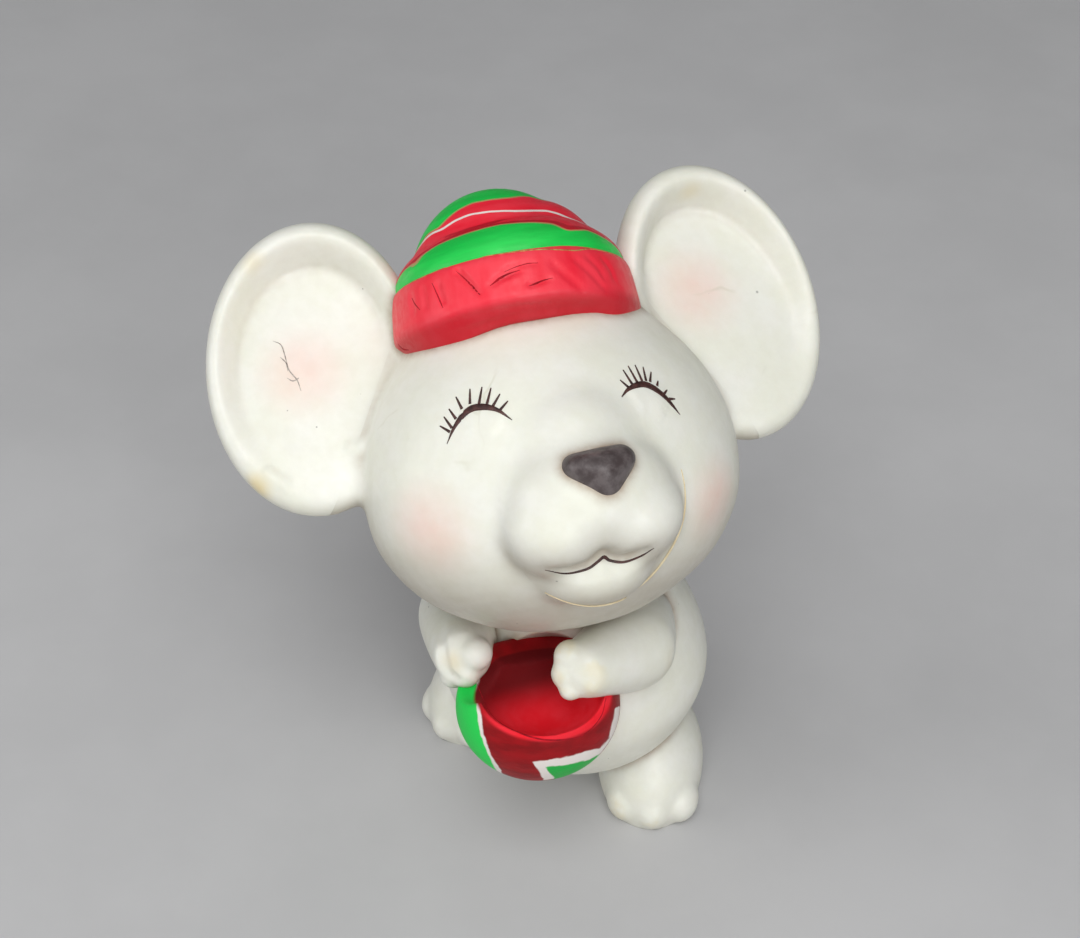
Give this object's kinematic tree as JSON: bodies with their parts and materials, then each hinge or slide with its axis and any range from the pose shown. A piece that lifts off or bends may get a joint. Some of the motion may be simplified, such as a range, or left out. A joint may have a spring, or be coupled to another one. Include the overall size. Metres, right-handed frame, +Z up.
{
  "type": "mouse figurine",
  "caption": "Small standing mouse ornament in moulded vinyl, with big dish ears, a closed-eye smile, a striped knit hat and an open striped stocking held in its paws.",
  "frame": {"origin": "floor level under the middle of the figure's bounding box", "axes": "+Z up from the floor to the ears, -Y the way the body faces, +X to the mouse's own left"},
  "size_m": [0.0433, 0.0417, 0.0547],
  "materials": {
    "ivory_vinyl": "satin, ivory vinyl, slightly yellowed at the ear rims",
    "nose_brown": "satin dark brown paint",
    "hat_red": "satin red paint with knit dents",
    "hat_green": "satin green and red painted bands with a thin white line",
    "stocking_red": "satin red paint with green and white bands"
  },
  "bodies": {
    "root": {"torso": "ivory_vinyl", "arm_left": "ivory_vinyl", "arm_right": "ivory_vinyl", "foot_left": "ivory_vinyl", "foot_right": "ivory_vinyl", "tail": "ivory_vinyl", "stocking": "stocking_red", "head": "ivory_vinyl", "muzzle": "ivory_vinyl", "nose": "nose_brown", "ear_left": "ivory_vinyl", "ear_right": "ivory_vinyl", "hat_cuff": "hat_red", "hat_crown": "hat_green"}
  },
  "joints": []
}
